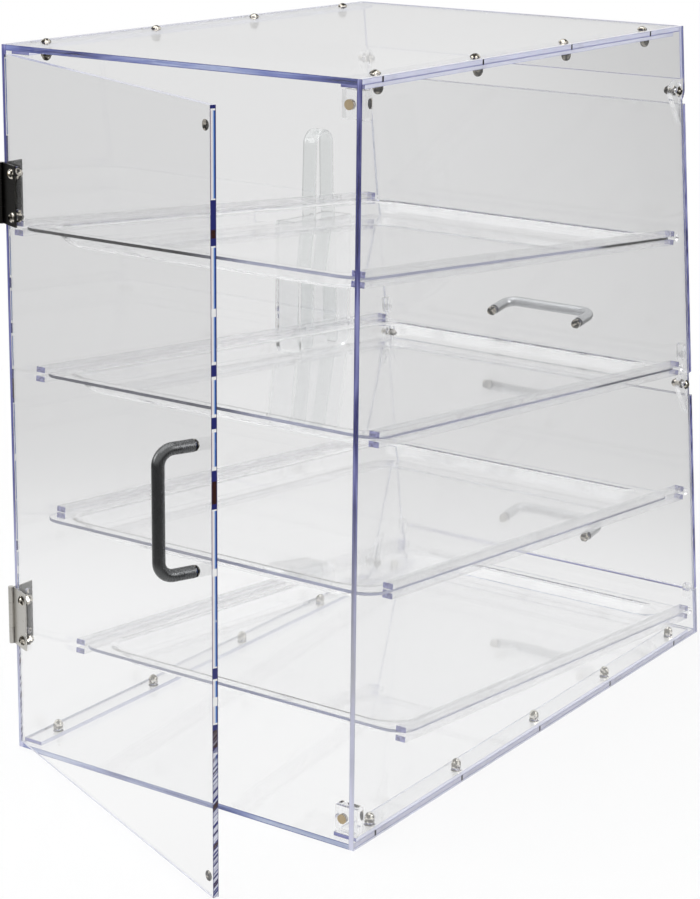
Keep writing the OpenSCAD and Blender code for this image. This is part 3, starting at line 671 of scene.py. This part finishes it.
room = glue["inside"] - glue["gap"]
lowest, highest = glue["floor"] + glue["gap"], glue["ceiling"] - glue["gap"]
for nodeName in nodes:
    if "flange" in nodeName or nodeName.startswith("rails") or nodeName in glue["pieces"]:
        glued(nodeName, (-room, -1, lowest), (room, 1, highest))
glued("tong_pocket", (glue["outside"] + glue["gap"], -1, -1), (1, 1, 1))
print("glued pieces set clear of the sheet")

# striker discs on the rear door; the profile is radius and height, in millimetres, and the upper
# disc, above the split, sits lower than its node
strikers = {"profile": [(0, 0.75), (2.6, 0.72), (3.6, 0.5), (4.0, 0.05), (4.1, -0.3),
                        (4.1, -0.75), (0, -0.75)],
            "around": 36, "lower": 0.0018, "split": 0.3, "merge": 1e-7}


def turnedForm(profile, around, centre, axis):
    # a profile carried round an axis w: c + r (u cos a + v sin a) + h w
    w = np.array(axis)
    u = np.array((0.0, 0.0, 1.0))
    v = np.cross(w, u)
    radius, height = np.array(profile, float).T[:, :, None, None] / perMetre
    angle = np.linspace(0, 2 * math.pi, around, endpoint=False)[None, :, None]
    spots = centre + radius * (np.cos(angle) * u + np.sin(angle) * v) + height * w
    return spots.reshape(-1, 3), ringFaces(len(profile), around)


def makeStrikers(look=strikers):
    # one turned form on the middle of each CAD disc
    spots = spotsOf(nodes["rear_strikers"].data)
    points, faces, count = [], [], 0
    for high in (False, True):
        disc = spots[(spots[:, 2] > look["split"]) == high]
        centre = (disc.min(axis=0) + disc.max(axis=0)) / 2 - (0, 0, look["lower"] * high)
        form, quads = turnedForm(look["profile"], look["around"], centre, -np.array(doorAxis))
        points.append(form)
        faces.append(quads + count)
        count += len(form)
    made = closedMesh("rear_strikers_domed", np.vstack(points), np.vstack(faces), look["merge"])
    newPiece("rear_strikers_domed", made, "rear_strikers", "rear_door")


makeStrikers()
print("strikers turned")

# one tray, in millimetres on its own slope; rows are inset from the rim, height, corner radius.
# start is the first tray's rear edge, step is from one to the next, back is how far each is drawn
trays = {"count": 4, "halfWidth": 169.54, "halfLength": 258.585, "cornerSteps": 14,
         "rows": [(27.0, -12.0, 22.0), (13.6, 1.3, 31.0), (0.0, 1.3, 20.0), (0.0, -1.3, 20.0),
                  (12.6, -1.3, 32.0), (25.0, -14.4, 23.0)],
         "fillets": (6.0, 2.2, 0.25, 0.25, 2.4, 7.0), "filletSteps": 6, "filletMost": 0.44,
         "guard": 0.1, "inward": 60,
         "start": (292.35, 458.5), "step": (22.001, 129.0004), "back": (0, 0, 25, 0)}


def softened(look):
    # each corner p between its neighbours a and b becomes the curve
    # (1-t)^2 (p + s(a-p)) + 2t(1-t) p + t^2 (p + s(b-p)), where s is its reach over the distance;
    # a guard row stands before and after it
    rows = np.array(look["rows"], float)
    ends = rows[[0, -1]] + [(look["inward"], 0, 0)] * 2
    before = np.vstack((ends[:1], rows[:-1]))
    after = np.vstack((rows[1:], ends[1:]))
    reach = np.array(look["fillets"])
    most, guard = look["filletMost"], look["guard"]
    shareIn = np.minimum(reach / np.linalg.norm(before[:, :2] - rows[:, :2], axis=1), most)
    shareOut = np.minimum(reach / np.linalg.norm(after[:, :2] - rows[:, :2], axis=1), most)
    start = rows + (before - rows) * shareIn[:, None]
    stop = rows + (after - rows) * shareOut[:, None]
    t = np.linspace(0, 1, look["filletSteps"])[None, :, None]
    curve = ((1 - t) ** 2 * start[:, None] + 2 * t * (1 - t) * rows[:, None]
             + t ** 2 * stop[:, None])
    guardIn, guardOut = start + (start - rows) * guard, stop + (stop - rows) * guard
    return np.concatenate((guardIn[:, None], curve, guardOut[:, None]), axis=1).reshape(-1, 3)


def makeTray(number, look=trays):
    # rounded rectangle of each row: x = sx (halfX - inset - r) + r cos a, y likewise with sin a,
    # closed by a fan at each end row, then turned by the slope about the tray's rear edge
    rows = softened(look)
    inset, height, radius = (rows[:, [column]] for column in range(3))
    angle = np.concatenate([np.linspace(turn, turn + math.pi / 2, look["cornerSteps"])
                            for turn in np.arange(4) * math.pi / 2])[None, :]
    quarter = np.repeat(np.arange(4), look["cornerSteps"])
    signX = np.array([1, -1, -1, 1])[quarter][None, :]
    signY = np.array([1, 1, -1, -1])[quarter][None, :]
    x = signX * (look["halfWidth"] - inset - radius) + radius * np.cos(angle)
    y = signY * (look["halfLength"] - inset - radius) + radius * np.sin(angle)
    y = y - look["halfLength"] + look["back"][number - 1]
    z = height + 0 * angle
    poles = np.array([(0, y.mean(), height[0, 0]), (0, y.mean(), height[-1, 0])])
    spots = np.vstack((np.stack((x, y, z), axis=-1).reshape(-1, 3), poles))
    startY, startZ = (look["start"][part] - look["step"][part] * (number - 1) for part in (0, 1))
    beside, along, above = spots.T
    turned = np.stack((beside, startY + along * math.cos(slope) - above * math.sin(slope),
                       startZ + along * math.sin(slope) + above * math.cos(slope)), axis=1)
    count = angle.size
    ring = np.arange(count)
    follow = (ring + 1) % count
    last = (len(rows) - 1) * count
    faces = ringFaces(len(rows), count).tolist()
    faces += np.stack((ring, follow, np.full(count, len(spots) - 2)), axis=1).tolist()
    faces += np.stack((last + follow, last + ring, np.full(count, len(spots) - 1)),
                      axis=1).tolist()
    mesh = bpy.data.meshes.new(f"tray_{number}_formed")
    mesh.from_pydata((turned / perMetre).tolist(), [], faces)
    mesh.polygons.foreach_set("use_smooth", np.ones(len(faces), dtype=bool))
    mesh.update()
    newPiece(f"tray_{number}_formed", mesh, f"tray_{number}", f"tray_{number}")


for number in range(1, trays["count"] + 1):
    makeTray(number)
print("trays formed")

# the tongs, one bent strip, in metres: two arms under a round bow, spreading towards the tips;
# ribs are depth, rate, how far above the tips they begin, and over what length they grow
tongs = {"middle": (0.192, -0.1575), "top": 0.4895, "low": 0.2655, "bow": 0.0135,
         "spread": 0.0085, "bend": 1.2, "wide": 0.0082, "thick": 0.0030, "waist": 0.42,
         "ribs": (0.0005, 900.0, 0.07, 0.01), "closing": 0.006, "tipWidth": 0.55,
         "closedWidth": 0.45, "along": 220, "around": 40, "merge": 1e-6}


def makeTongs(look=tongs):
    # middle line: down both arms and round a half circle of radius bow, pushed out by
    # spread (d/length)^bend at depth d below the bow; section: x = wide cos t,
    # n = thick sin t (waist + (1 - waist) cos^2 t), with ribs on the lower arms, narrowing at
    # each tip by the root of the length left
    turn = look["top"] - look["thick"] - look["bow"]
    arm = turn - look["low"]
    total = 2 * arm + math.pi * look["bow"]
    s = np.linspace(0, total, look["along"])[:, None]
    down = np.clip(arm - s, 0, None) + np.clip(s - arm - math.pi * look["bow"], 0, None)
    angle = np.pi - np.clip((s - arm) / look["bow"], 0, math.pi)
    outward = np.where(s < total / 2, -1.0, 1.0)
    side = (np.cos(angle) * look["bow"]
            + outward * look["spread"] * (down / arm) ** look["bend"])
    high = turn + np.sin(angle) * look["bow"] - down
    t = np.linspace(0, 2 * math.pi, look["around"], endpoint=False)[None, :]
    deep, rate, zone, fade = look["ribs"]
    ribs = deep * np.sin(down * rate) * np.clip((down - arm + zone) / fade, 0, 1) * (np.sin(t) < 0)
    closing = np.clip(np.minimum(s, total - s) / look["closing"], 0.0, 1.0) ** 0.5
    out = (look["thick"] * np.sin(t) * (look["waist"] + (1 - look["waist"]) * np.cos(t) ** 2)
           + ribs) * closing
    width = look["tipWidth"] + look["closedWidth"] * closing
    x = look["middle"][0] + look["wide"] * np.cos(t) * width * np.ones_like(s)
    y = look["middle"][1] + side + out * np.cos(angle)
    z = high + out * np.sin(angle)
    spots = np.stack((x, y, z), axis=-1).reshape(-1, 3)
    quads = ringFaces(look["along"], look["around"])[:, [0, 3, 2, 1]]
    mesh = closedMesh("tongs_bent", spots, quads, look["merge"], fill=True, smooth=True)
    newPiece("tongs_bent", mesh, "tongs", "tongs")


makeTongs()
print("tongs bent")
